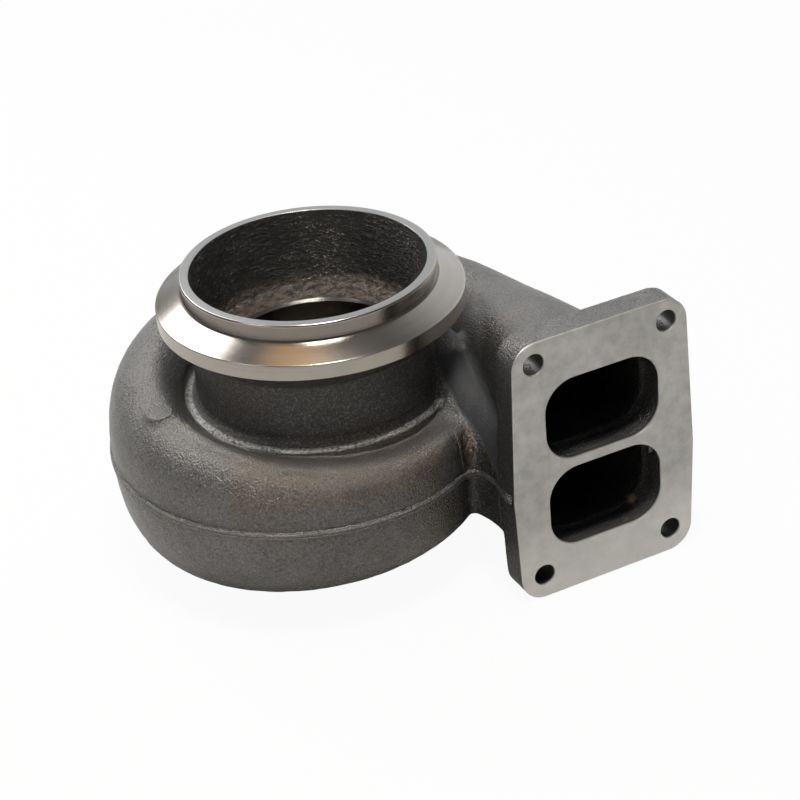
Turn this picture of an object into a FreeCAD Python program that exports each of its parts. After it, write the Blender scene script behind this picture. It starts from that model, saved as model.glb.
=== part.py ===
"""Turbine housing of a twin-scroll turbocharger: one iron casting with its machined faces.

Millimetres. The turbine axis is Z. The origin lies on it, in the plane of the seat for the
bearing housing, and +Z points to the exhaust outlet. The inlet flange faces -Y on the +X side,
so the gas runs along +Y and then turns anticlockwise, seen from the outlet.
"""
import FreeCAD, Part
import math
import os

V = FreeCAD.Vector
AXIS_Z = V(0, 0, 1)
ORIGIN = V(0, 0, 0)

# Casting as a whole
WALL = 6.0
PARTING_HEIGHT = 42.0
PARTING_RIDGE_OUT = 0.9
PARTING_RIDGE_TALL = 2.4
RIDGE_LAST_ANGLE = 295.0
RIDGE_POINTS = 30
DRAFT_DEGREES = 2.2

# Outlet: pilot lip, V-band rim and neck
RIM_RADIUS = 75.0
RIM_TOP = 122.0
RIM_TALL = 8.2
LIP_RADIUS = 62.2
LIP_TALL = 13.8
CONE_TOP_RADIUS = 63.8
CONE_TALL = 4.5
RIM_BACK_CONE = 7.8
RIM_BACK_WIDENING = 6.0
RIM_BACK_BLEND = 4.0
LIP_FOOT_CHAMFER = 1.6
NECK_RADIUS = 60.0
NECK_FOOT_RADIUS = 61.2
COLLAR_RADIUS = 66.0
COLLAR_HEIGHT = 70.8
COLLAR_FILLET = 3.4
COLLAR_EDGE = 1.2
LIP_CHAMFER = 0.8

# Outlet duct and turbine bore
DUCT_RADIUS_TOP = 57.3
DUCT_RADIUS_BOTTOM = 54.0
LEDGE_HEIGHT = 97.0
TURBINE_BORE_RADIUS = 45.0
TURBINE_BORE_TOP = 91.8
BORE_CHAMFER = 1.4
SHROUD_START = 72.0
WHEEL_RADIUS = 53.0
THROAT_TOP = 52.0
THROAT_BOTTOM = 31.0
THROAT_RADIUS = 70.0
DIVIDER_TIP_RADIUS = 56.5
DIVIDER_TIP = 2.8
THROAT_WIDENING = 2.0

# Seat for the bearing housing
SEAT_RADIUS = 70.0
SEAT_RISE = 16.0
COLLAR_FOOT_RISE = 20.0
PILOT_RADIUS = 57.5
PILOT_DEPTH = 8.0
SHIELD_RADIUS = 54.5
SEAT_BOLT_CIRCLE = 127.0
SEAT_BOLT_COUNT = 8
SEAT_THREAD_RADIUS = 4.0
SEAT_THREAD_DEPTH = 11.0

# Fullness of rounded sections, as superellipse powers: 2 is an ellipse, more is squarer
UPPER_SHOULDER = 2.43
LOWER_SHOULDER = 2.39
LOWER_ROOT = 2.0
GROOVE_START = 1.6
GROOVE_END = 2.4
GROOVE_FIRST_ANGLE = 200.0
GROOVE_LAST_ANGLE = 260.0
TRACT_FULLNESS = 3.0
WEB_TOP_FULLNESS = 2.4
WEB_FOOT_FULLNESS = 3.5
PASSAGE_CROWN = 2.0
PASSAGE_CORNER = 3.4
PASSAGE_INNER_CORNER = 3.0
PASSAGE_INNER_CROWN = 1.7

# Scroll, outside: sizes at the start of the turn and at its full end
SCROLL_RADIUS_START = 132.0
SCROLL_RADIUS_END = 75.4
CREST_HEIGHT_START = 97.0
CREST_HEIGHT_END = 65.0
CREST_LEVEL_ANGLE = 290.0
CREST_DROP_POWER = 1.5
CREST_RADIUS_START = 87.6
CREST_RADIUS_END = 72.8
BELLY_HEIGHT_START = -31.5
BELLY_HEIGHT_END = 20.3
BELLY_LEVEL = -12.0
BELLY_RADIUS = 79.0
BELLY_EDGE = 6.0
SCROLL_ROOT_RADIUS = 56.0
SCROLL_LAST_ANGLE = 315.0
SCROLL_STEP = 22.5
PASSAGE_STEP = 35.0

# Inlet flange
FLANGE_FACE = -111.8
FLANGE_THICK = 16.0
FLANGE_CENTRE_X = 94.4
FLANGE_WIDTH = 99.6
FLANGE_TOP = 123.6
FLANGE_BOTTOM = -16.8
FLANGE_CORNER = 13.0
STUD_SPACING_X = 71.4
STUD_SPACING_Z = 116.5
STUD_CENTRE_HEIGHT = 54.2
STUD_HOLE_RADIUS = 5.5
PORT_WIDTH = 61.6
PORT_TALL = 43.2
PORT_CORNER = 16.0
PORT_STRAIGHT = 6.0
DIVIDER = 5.2
DIVIDER_START_SHARE = 0.68
DIVIDER_LEVEL_ANGLE = 60.0
PASSAGE_STATIONS = (-75.0, -40.0)
PASSAGE_CROWN_SHARE = 0.42
PASSAGE_SIDE_SHARE = 0.25
PASSAGE_INNER_SHARE = 0.22
THROAT_OVERLAP = 3.0
PORT_CENTRE_HEIGHT = 53.4

# Inlet tract between the flange and the start of the turn
TRACT_RISE = 13.0
TRACT_BELLY_RISE = 12.0
TRACT_INNER_X = 57.5
TRACT_FLARE = 4.0
TRACT_FLARE_REACH = 14.0
TRACT_RISE_POWER = 0.75
TRACT_BELLY_SHARE = 0.7
TRACT_ROOT_SHARE = 0.5
TRACT_GROOVE_SHARE = 0.4
TRACT_STATIONS = (-104.0, -92.0, -80.0, -60.0, -30.0)

# Web that joins the tail of the scroll, the neck and the flange
WEB_START = -104.0
WEB_VALLEY = -80.0
WEB_END = -28.0
WEB_BEND_START = -88.0
WEB_BEND_END = -38.0
WEB_COUNT = 7
WEB_LEFT = 45.2
WEB_LEFT_END = 25.5
WEB_RIGHT = 72.0
WEB_TOP = 68.5
WEB_TOP_START = 73.0
WEB_TOP_END = 98.0
WEB_RISE_POWER = 1.35
WEB_BOTTOM = 7.6
WEB_BOTTOM_END = 16.0
WEB_FULLNESS = 2.6
WEB_FULLNESS_END = 1.7

# Round pad on the shoulder of the scroll
PAD_RADIUS = 6.8
PAD_REACH = 84.8
PAD_ANGLE = 180.7
PAD_TOP = 82.0
PAD_DEPTH = 8.0

# How far a cutting solid runs past the face it opens, and the points of each section
PAST = 1.0
OUTSIDE_POINTS = 6
PASSAGE_POINTS = 4


def blend(start, end, share):
    """Value a share of the way from start to end."""
    return start + (end - start) * share


def ease(share):
    """Share eased in and out between 0 and 1."""
    held = min(1.0, max(0.0, share))
    return held * held * (3.0 - 2.0 * held)


def quarter(centre, reach, power, turn, count):
    """Points of one quarter of a superellipse, without its last point.

    reach holds the signed half sizes along r and z, and turn says whether the quarter runs
    from its z end to its r end or back.
    """
    points = []
    for k in range(count):
        angle = 0.5 * math.pi * k / count
        if turn:
            angle = 0.5 * math.pi - angle
        along = abs(math.sin(angle))
        up = abs(math.cos(angle))
        stretch = (along ** power + up ** power) ** (-1.0 / power)
        points.append((centre[0] + reach[0] * along * stretch, centre[1] + reach[1] * up * stretch))
    return points


def oval(top, outer, bottom, inner, powers, count=OUTSIDE_POINTS):
    """Closed row of points through four extreme points, with one superellipse power a quarter."""
    quarters = [(top, outer, False), (bottom, outer, True), (bottom, inner, False), (top, inner, True)]
    points = []
    for (end, side, turn), power in zip(quarters, powers):
        reach = (side[0] - end[0], end[1] - side[1])
        points += quarter((end[0], side[1]), reach, power, turn, count)
    return points


def rounded_box(centre, width, tall, corner):
    """Points round a rectangle with arcs at its corners, in the same order as oval()."""
    signs = [(1, 1, False), (1, -1, True), (-1, -1, False), (-1, 1, True)]
    flat_x = 0.5 * width - corner
    flat_z = 0.5 * tall - corner
    arc = 0.5 * math.pi * corner
    whole = flat_x + arc + flat_z
    points = []
    for sign_x, sign_z, turn in signs:
        for k in range(PASSAGE_POINTS):
            run = whole * k / PASSAGE_POINTS
            if turn:
                run = whole - run
            if run <= flat_x:
                x, z = run, 0.5 * tall
            elif run >= flat_x + arc:
                x, z = 0.5 * width, flat_z - (run - flat_x - arc)
            else:
                angle = (run - flat_x) / corner
                x = flat_x + corner * math.sin(angle)
                z = flat_z + corner * math.cos(angle)
            points.append((centre[0] + sign_x * x, centre[1] + sign_z * z))
    return points


def closed_wire(points, place):
    """Smooth closed wire through (r, z) points, put in space by the function place."""
    knots = [float(k) for k in range(len(points) + 1)]
    curve = Part.BSplineCurve()
    curve.interpolate(Points=[place(r, z) for r, z in points], Parameters=knots, PeriodicFlag=True)
    return Part.Wire([curve.toShape()])


def across(y):
    """Function that puts (x, z) points in the plane at y, across the inlet."""
    return lambda x, z: V(x, y, z)


def at_angle(degrees):
    """Function that puts (r, z) points in the half plane at an angle round the axis."""
    cosine = math.cos(math.radians(degrees))
    sine = math.sin(math.radians(degrees))
    return lambda r, z: V(r * cosine, r * sine, z)


def loft(wires):
    """Solid loft through closed wires."""
    return Part.makeLoft(wires, True, False)


def turned(outline):
    """Solid of revolution about Z from a closed outline of edges."""
    return Part.Face(Part.Wire(outline)).revolve(ORIGIN, AXIS_Z, 360)


def path(points):
    """Straight edges through (r, z) points in the plane y = 0."""
    corners = [V(r, 0, z) for r, z in points]
    return [Part.makeLine(a, b) for a, b in zip(corners, corners[1:])]


def arc(start, centre, end):
    """Short arc edge from start to end round a centre, all given as (r, z)."""
    reach = math.hypot(start[0] - centre[0], start[1] - centre[1])
    toward = (start[0] + end[0] - 2.0 * centre[0], start[1] + end[1] - 2.0 * centre[1])
    share = reach / math.hypot(*toward)
    middle = V(centre[0] + toward[0] * share, 0, centre[1] + toward[1] * share)
    return Part.Arc(V(start[0], 0, start[1]), middle, V(end[0], 0, end[1])).toShape()


def scroll_radius(degrees):
    return blend(SCROLL_RADIUS_START, SCROLL_RADIUS_END, degrees / 360.0)


def crest(degrees):
    """Radius and height of the highest line of the scroll."""
    drop = ease((degrees / CREST_LEVEL_ANGLE) ** CREST_DROP_POWER)
    return (blend(CREST_RADIUS_START, CREST_RADIUS_END, degrees / 360.0),
            blend(CREST_HEIGHT_START, CREST_HEIGHT_END, drop))


def belly(degrees):
    """Radius and height of the lowest line of the scroll, level under the first third."""
    height = blend(BELLY_HEIGHT_START, BELLY_HEIGHT_END, degrees / 360.0)
    return min(BELLY_RADIUS, scroll_radius(degrees) - BELLY_EDGE), max(BELLY_LEVEL, height)


def tract_share(y):
    """0 at the start of the turn, 1 at the face of the flange."""
    return y / FLANGE_FACE


def tract_flare(y):
    """How far the tract widens near the back of the flange."""
    behind = y - (FLANGE_FACE + FLANGE_THICK)
    return TRACT_FLARE * math.exp(-max(0.0, behind) / TRACT_FLARE_REACH)


def tract_crest(y):
    share = tract_share(y)
    start_r, start_z = crest(0.0)
    rise = TRACT_RISE * share ** TRACT_RISE_POWER
    return blend(start_r, FLANGE_CENTRE_X, share), start_z + rise + tract_flare(y)


def tract_belly(y):
    share = tract_share(y)
    start_r, start_z = belly(0.0)
    rise = TRACT_BELLY_RISE * ease(share / TRACT_BELLY_SHARE)
    return blend(start_r, FLANGE_CENTRE_X, ease(share)), start_z + rise - tract_flare(y)


def tract_section(y):
    """Outside of the inlet tract in the plane at y."""
    share = tract_share(y)
    flare = tract_flare(y)
    outer_x = SCROLL_RADIUS_START + flare
    inner_x = blend(SCROLL_ROOT_RADIUS, TRACT_INNER_X, ease(share / TRACT_ROOT_SHARE)) - flare
    powers = [blend(UPPER_SHOULDER, TRACT_FULLNESS, share), blend(LOWER_SHOULDER, TRACT_FULLNESS, share),
              blend(LOWER_ROOT, TRACT_FULLNESS, share),
              blend(GROOVE_START, TRACT_FULLNESS, ease(share / TRACT_GROOVE_SHARE))]
    outer = (outer_x, PARTING_HEIGHT)
    inner = (inner_x, PARTING_HEIGHT)
    return oval(tract_crest(y), outer, tract_belly(y), inner, powers)


def scroll_section(degrees):
    """Outside of the scroll in the half plane at an angle."""
    outer = (scroll_radius(degrees), PARTING_HEIGHT)
    inner = (SCROLL_ROOT_RADIUS, PARTING_HEIGHT)
    turn = (degrees - GROOVE_FIRST_ANGLE) / (GROOVE_LAST_ANGLE - GROOVE_FIRST_ANGLE)
    groove = blend(GROOVE_START, GROOVE_END, min(1.0, max(0.0, turn)))
    powers = [UPPER_SHOULDER, LOWER_SHOULDER, LOWER_ROOT, groove]
    return oval(crest(degrees), outer, belly(degrees), inner, powers)


def scroll_angles(step):
    """Angles of the sections round the scroll, a whole number of steps to its last one."""
    count = int(round(SCROLL_LAST_ANGLE / step))
    return [SCROLL_LAST_ANGLE * k / count for k in range(count + 1)]


def scroll_outside():
    """Inlet tract and scroll as one loft."""
    wires = [closed_wire(tract_section(y), across(y)) for y in TRACT_STATIONS]
    for degrees in scroll_angles(SCROLL_STEP):
        wires.append(closed_wire(scroll_section(degrees), at_angle(degrees)))
    return loft(wires)


def divider_height(run):
    """Middle of the divider, where run goes from 0 at the ports to 1 at a quarter turn."""
    return blend(PORT_CENTRE_HEIGHT, PARTING_HEIGHT, ease(run))


def passage_section(outside_crest, outside_belly, outer_x, inner_x, middle, upper):
    """One of the two gas passages inside a given outside, above or below the divider."""
    half = 0.5 * DIVIDER
    mid_x = blend(inner_x, outer_x, 0.5)
    crown_x = blend(inner_x, outer_x, PASSAGE_CROWN_SHARE)
    if upper:
        top = (crown_x, outside_crest[1] - WALL)
        bottom = (mid_x, middle + half)
        floor, roof = bottom[1], top[1]
        powers = [PASSAGE_CROWN, PASSAGE_CORNER, PASSAGE_INNER_CORNER, PASSAGE_INNER_CROWN]
    else:
        top = (mid_x, middle - half)
        bottom = (crown_x, outside_belly[1] + WALL)
        floor, roof = top[1], bottom[1]
        powers = [PASSAGE_CORNER, PASSAGE_CROWN, PASSAGE_INNER_CROWN, PASSAGE_INNER_CORNER]
    outer = (outer_x, blend(floor, roof, PASSAGE_SIDE_SHARE))
    inner = (inner_x, blend(floor, roof, PASSAGE_INNER_SHARE))
    return oval(top, outer, bottom, inner, powers, PASSAGE_POINTS)


def port_section(upper):
    """Mouth of one port."""
    rise = 0.5 * (DIVIDER + PORT_TALL)
    centre = (FLANGE_CENTRE_X, PORT_CENTRE_HEIGHT + (rise if upper else -rise))
    return rounded_box(centre, PORT_WIDTH, PORT_TALL, PORT_CORNER)


def mixed(first, second, share):
    """Rows of points blended one by one."""
    return [(blend(a[0], b[0], share), blend(a[1], b[1], share)) for a, b in zip(first, second)]


def passage_at(degrees, upper):
    """Section of a passage at an angle round the axis."""
    outer = scroll_radius(degrees) - WALL
    inner = THROAT_RADIUS - THROAT_OVERLAP
    level = min(1.0, degrees / DIVIDER_LEVEL_ANGLE)
    middle = divider_height(blend(DIVIDER_START_SHARE, 1.0, level))
    return passage_section(crest(degrees), belly(degrees), outer, inner, middle, upper)


def passage(upper):
    """Gas passage from the port to the end of the scroll."""
    port = port_section(upper)
    start = passage_at(0.0, upper)
    wires = [closed_wire(port, across(FLANGE_FACE - PAST))]
    wires.append(closed_wire(port, across(FLANGE_FACE + PORT_STRAIGHT)))
    for y in PASSAGE_STATIONS:
        share = ease(1.0 - tract_share(y))
        wires.append(closed_wire(mixed(port, start, share), across(y)))
    for degrees in scroll_angles(PASSAGE_STEP):
        wires.append(closed_wire(passage_at(degrees, upper), at_angle(degrees)))
    return loft(wires)


def flange_plate():
    """Inlet flange, with draft both ways from the parting plane and round corners."""
    slope = math.tan(math.radians(DRAFT_DEGREES))
    half = 0.5 * FLANGE_WIDTH
    top_half = half - slope * (FLANGE_TOP - PARTING_HEIGHT)
    bottom_half = half - slope * (PARTING_HEIGHT - FLANGE_BOTTOM)
    corners = [(top_half, FLANGE_TOP), (half, PARTING_HEIGHT), (bottom_half, FLANGE_BOTTOM),
               (-bottom_half, FLANGE_BOTTOM), (-half, PARTING_HEIGHT), (-top_half, FLANGE_TOP)]
    points = [V(FLANGE_CENTRE_X + x, FLANGE_FACE, z) for x, z in corners]
    plate = Part.Face(Part.makePolygon(points + points[:1])).extrude(V(0, FLANGE_THICK, 0))
    rounded = []
    for edge in plate.Edges:
        a, b = edge.Vertexes[0].Point, edge.Vertexes[-1].Point
        if abs(abs(a.y - b.y) - FLANGE_THICK) < 0.01 and abs(a.z - PARTING_HEIGHT) > 1.0:
            rounded.append(edge)
    return plate.makeFillet(FLANGE_CORNER, rounded)


def web_section(y):
    """Section of the web in the plane at y, between the back of the flange and the neck."""
    run = max(0.0, (y - WEB_VALLEY) / (WEB_END - WEB_VALLEY))
    before = max(0.0, (y - WEB_VALLEY) / (WEB_START - WEB_VALLEY))
    whole = (y - WEB_START) / (WEB_END - WEB_START)
    left = blend(WEB_LEFT, WEB_LEFT_END, ease((y - WEB_BEND_START) / (WEB_BEND_END - WEB_BEND_START)))
    top = WEB_TOP + (WEB_TOP_END - WEB_TOP) * run ** WEB_RISE_POWER + (WEB_TOP_START - WEB_TOP) * before
    bottom = blend(WEB_BOTTOM, WEB_BOTTOM_END, whole)
    fullness = blend(WEB_FULLNESS, WEB_FULLNESS_END, ease(2.0 * whole))
    middle = blend(left, WEB_RIGHT, 0.5)
    return oval((middle, top), (WEB_RIGHT, PARTING_HEIGHT), (middle, bottom), (left, PARTING_HEIGHT),
                [WEB_TOP_FULLNESS, WEB_FOOT_FULLNESS, WEB_FOOT_FULLNESS, fullness])


def web():
    """Web of metal between the tail of the scroll, the neck and the back of the flange."""
    wires = []
    for k in range(WEB_COUNT):
        y = blend(WEB_START, WEB_END, k / (WEB_COUNT - 1.0))
        wires.append(closed_wire(web_section(y), across(y)))
    return loft(wires)


def shoulder_pad():
    """Round cast pad with a level top, low at its inner side and taller where the scroll falls."""
    centre = at_angle(PAD_ANGLE)(PAD_REACH, PAD_TOP - PAD_DEPTH)
    return Part.makeCylinder(PAD_RADIUS, PAD_DEPTH, centre, AXIS_Z)


def rim_profile():
    """Corners of the outlet from the foot of the neck up to the axis at the top of the lip."""
    lip_top = RIM_TOP + LIP_TALL
    cone_foot = RIM_TOP + CONE_TALL
    rim_back = RIM_TOP - RIM_TALL
    neck_top = rim_back - RIM_BACK_CONE
    return [(NECK_FOOT_RADIUS, COLLAR_HEIGHT + COLLAR_FILLET), (NECK_RADIUS, neck_top - RIM_BACK_BLEND),
            (NECK_RADIUS + RIM_BACK_WIDENING, neck_top), (RIM_RADIUS, rim_back), (RIM_RADIUS, RIM_TOP),
            (CONE_TOP_RADIUS, cone_foot), (LIP_RADIUS, cone_foot + LIP_FOOT_CHAMFER),
            (LIP_RADIUS, lip_top - LIP_CHAMFER),
            (LIP_RADIUS - LIP_CHAMFER, lip_top), (0.0, lip_top)]


def neck_and_seat():
    """Turned core of the casting: outlet rim, neck, collar and seat ring, solid inside."""
    rim = rim_profile()
    base = [(0.0, 0.0), (SEAT_RADIUS, 0.0), (SEAT_RADIUS, PARTING_HEIGHT + SEAT_RISE),
            (COLLAR_RADIUS, PARTING_HEIGHT + COLLAR_FOOT_RISE), (COLLAR_RADIUS, COLLAR_HEIGHT - COLLAR_EDGE),
            (COLLAR_RADIUS - COLLAR_EDGE, COLLAR_HEIGHT), (NECK_FOOT_RADIUS + COLLAR_FILLET, COLLAR_HEIGHT)]
    return turned(path([rim[-1]] + base + rim))


def bore():
    """Turned hollow: outlet duct, turbine bore, wheel chamber and bearing-housing pilot."""
    lip_top = RIM_TOP + LIP_TALL
    below = [(0.0, -PAST), (PILOT_RADIUS, -PAST), (PILOT_RADIUS, PILOT_DEPTH), (SHIELD_RADIUS, PILOT_DEPTH),
             (SHIELD_RADIUS, THROAT_BOTTOM), (WHEEL_RADIUS, THROAT_BOTTOM), (WHEEL_RADIUS, THROAT_TOP)]
    above = [(TURBINE_BORE_RADIUS, SHROUD_START), (TURBINE_BORE_RADIUS, TURBINE_BORE_TOP - BORE_CHAMFER),
             (TURBINE_BORE_RADIUS + BORE_CHAMFER, TURBINE_BORE_TOP), (DUCT_RADIUS_BOTTOM, LEDGE_HEIGHT),
             (DUCT_RADIUS_TOP, lip_top), (DUCT_RADIUS_TOP, lip_top + PAST), (0.0, lip_top + PAST),
             (0.0, -PAST)]
    rise = SHROUD_START - THROAT_TOP
    step = WHEEL_RADIUS - TURBINE_BORE_RADIUS
    shroud_radius = (rise * rise + step * step) / (2.0 * step)
    shroud = arc(below[-1], (TURBINE_BORE_RADIUS + shroud_radius, SHROUD_START), above[0])
    return turned(path(below) + [shroud] + path(above))


def throats():
    """Two annular throats that feed the wheel, one from each passage."""
    half_foot = 0.5 * DIVIDER
    half_tip = 0.5 * DIVIDER_TIP
    inner = WHEEL_RADIUS - PAST
    rings = []
    for sign, limit in ((1.0, THROAT_TOP), (-1.0, THROAT_BOTTOM)):
        tip = PARTING_HEIGHT + sign * half_tip
        foot = PARTING_HEIGHT + sign * half_foot
        corners = [(inner, tip), (DIVIDER_TIP_RADIUS, tip), (THROAT_RADIUS, foot),
                   (THROAT_RADIUS, limit + sign * THROAT_WIDENING), (inner, limit)]
        rings.append(turned(path(corners + corners[:1])))
    return rings


def parting_ridge():
    """Low ridge left by the mould joint, as a plate a little wider than the scroll."""
    foot = PARTING_HEIGHT - 0.5 * PARTING_RIDGE_TALL
    points = []
    for k in range(RIDGE_POINTS):
        degrees = RIDGE_LAST_ANGLE * k / (RIDGE_POINTS - 1.0)
        points.append(at_angle(degrees)(scroll_radius(degrees) + PARTING_RIDGE_OUT, foot))
    turn = Part.BSplineCurve()
    turn.interpolate(Points=points)
    left = WEB_LEFT - PARTING_RIDGE_OUT
    back = FLANGE_FACE + FLANGE_THICK
    corner = V(left, FLANGE_FACE + PAST, foot)
    far = V(SCROLL_RADIUS_START + PARTING_RIDGE_OUT, FLANGE_FACE + PAST, foot)
    tongue = Part.BSplineCurve()
    valley = V(left + PARTING_RIDGE_OUT, WEB_VALLEY, foot)
    tongue.interpolate(Points=[points[-1], valley, V(left, back, foot), corner])
    edges = [turn.toShape(), tongue.toShape(), Part.makeLine(corner, far), Part.makeLine(far, points[0])]
    return Part.Face(Part.Wire(edges)).extrude(V(0, 0, PARTING_RIDGE_TALL))


def stud_holes():
    """Four clearance holes of the inlet flange."""
    holes = []
    for side in (-0.5, 0.5):
        for up in (-0.5, 0.5):
            x = FLANGE_CENTRE_X + side * STUD_SPACING_X
            z = STUD_CENTRE_HEIGHT + up * STUD_SPACING_Z
            start = V(x, FLANGE_FACE - PAST, z)
            holes.append(Part.makeCylinder(STUD_HOLE_RADIUS, FLANGE_THICK + 2.0 * PAST, start, V(0, 1, 0)))
    return holes


def seat_threads():
    """Blind threaded holes in the seat ring, at their nominal size."""
    holes = []
    for k in range(SEAT_BOLT_COUNT):
        centre = at_angle(360.0 * (k + 0.5) / SEAT_BOLT_COUNT)(0.5 * SEAT_BOLT_CIRCLE, 0.0)
        holes.append(Part.makeCylinder(SEAT_THREAD_RADIUS, SEAT_THREAD_DEPTH, centre, AXIS_Z))
    return holes


def turbine_housing():
    """The whole casting."""
    body = neck_and_seat().fuse([scroll_outside(), flange_plate(), web(), shoulder_pad(), parting_ridge()])
    hollow = [bore(), passage(True), passage(False)] + throats() + stud_holes() + seat_threads()
    return body.cut(hollow)


def main():
    os.makedirs("parts", exist_ok=True)
    housing = turbine_housing()
    housing.exportStep("parts/turbine_housing.step")


main()
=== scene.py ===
"""Studio view of a twin-scroll turbine housing: an iron casting with machined ends.

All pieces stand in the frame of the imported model, in metres. Sizes in the classes below are
written in millimetres and scaled once, where a mesh is made.
"""

import logging
import math
from dataclasses import dataclass, field
from enum import Enum
from typing import Sequence, Union

import bmesh
import bpy
import numpy as np
from mathutils import Matrix, Vector, noise
from mathutils.bvhtree import BVHTree

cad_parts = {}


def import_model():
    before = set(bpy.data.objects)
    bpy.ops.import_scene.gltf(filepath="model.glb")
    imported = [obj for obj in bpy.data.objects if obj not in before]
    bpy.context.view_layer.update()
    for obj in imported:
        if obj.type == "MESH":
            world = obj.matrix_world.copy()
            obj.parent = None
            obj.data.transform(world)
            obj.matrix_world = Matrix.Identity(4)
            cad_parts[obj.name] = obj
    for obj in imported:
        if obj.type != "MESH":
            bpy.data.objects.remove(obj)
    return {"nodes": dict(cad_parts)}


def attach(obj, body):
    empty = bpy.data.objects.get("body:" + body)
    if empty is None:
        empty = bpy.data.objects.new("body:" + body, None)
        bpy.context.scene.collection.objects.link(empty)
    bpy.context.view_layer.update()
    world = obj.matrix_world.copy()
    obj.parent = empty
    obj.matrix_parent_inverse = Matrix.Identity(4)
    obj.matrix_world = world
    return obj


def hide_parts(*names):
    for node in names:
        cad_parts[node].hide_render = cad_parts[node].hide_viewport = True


MM = 0.001
HOUSING = "turbine_housing"
BODY = "root"
LOG = logging.getLogger("turbine_housing_scene")

Pair = tuple[float, float]
Triple = tuple[float, float, float]
Colour = tuple[float, float, float]
Value = Union["Wire", float]


class Facing(Enum):
    """Which way the front of a pierced plate looks."""

    INLET = "towards -Y"
    SEAT = "towards -Z"


class Wire:
    """An output socket of a material that takes part in arithmetic."""

    def __init__(self, graph: "Graph", socket: bpy.types.NodeSocket) -> None:
        """Keep the socket and the graph that it belongs to."""
        self.graph = graph
        self.socket = socket

    def _with(self, operation: str, first: Value, second: Value) -> "Wire":
        """Add one Math node and give its result."""
        return self.graph.node("ShaderNodeMath", {"operation": operation}, {0: first, 1: second})

    def __add__(self, other: Value) -> "Wire":
        """self + other."""
        return self._with("ADD", self, other)

    __radd__ = __add__

    def __sub__(self, other: Value) -> "Wire":
        """self - other."""
        return self._with("SUBTRACT", self, other)

    def __rsub__(self, other: Value) -> "Wire":
        """other - self."""
        return self._with("SUBTRACT", other, self)

    def __mul__(self, other: Value) -> "Wire":
        """self * other."""
        return self._with("MULTIPLY", self, other)

    __rmul__ = __mul__

    def __pow__(self, other: Value) -> "Wire":
        """self ** other."""
        return self._with("POWER", self, other)

    def rising(self, low: float, high: float) -> "Wire":
        """Smooth mask from 0 at low to 1 at high.

        Args:
            low: value at which the mask starts to rise.
            high: value at which it is full.

        Returns:
            The mask.
        """
        return self.graph.node(
            "ShaderNodeMapRange",
            {"interpolation_type": "SMOOTHSTEP", "clamp": True},
            {"Value": self, "From Min": low, "From Max": high, "To Min": 0.0, "To Max": 1.0},
        )

    def falling(self, low: float, high: float) -> "Wire":
        """Smooth mask from 1 at low to 0 at high."""
        return 1.0 - self.rising(low, high)

    def between(self, low: float, high: float, soft: float) -> "Wire":
        """Smooth mask that is 1 from low to high and fades over soft outside them."""
        return self.rising(low - soft, low) * self.falling(high, high + soft)


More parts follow.
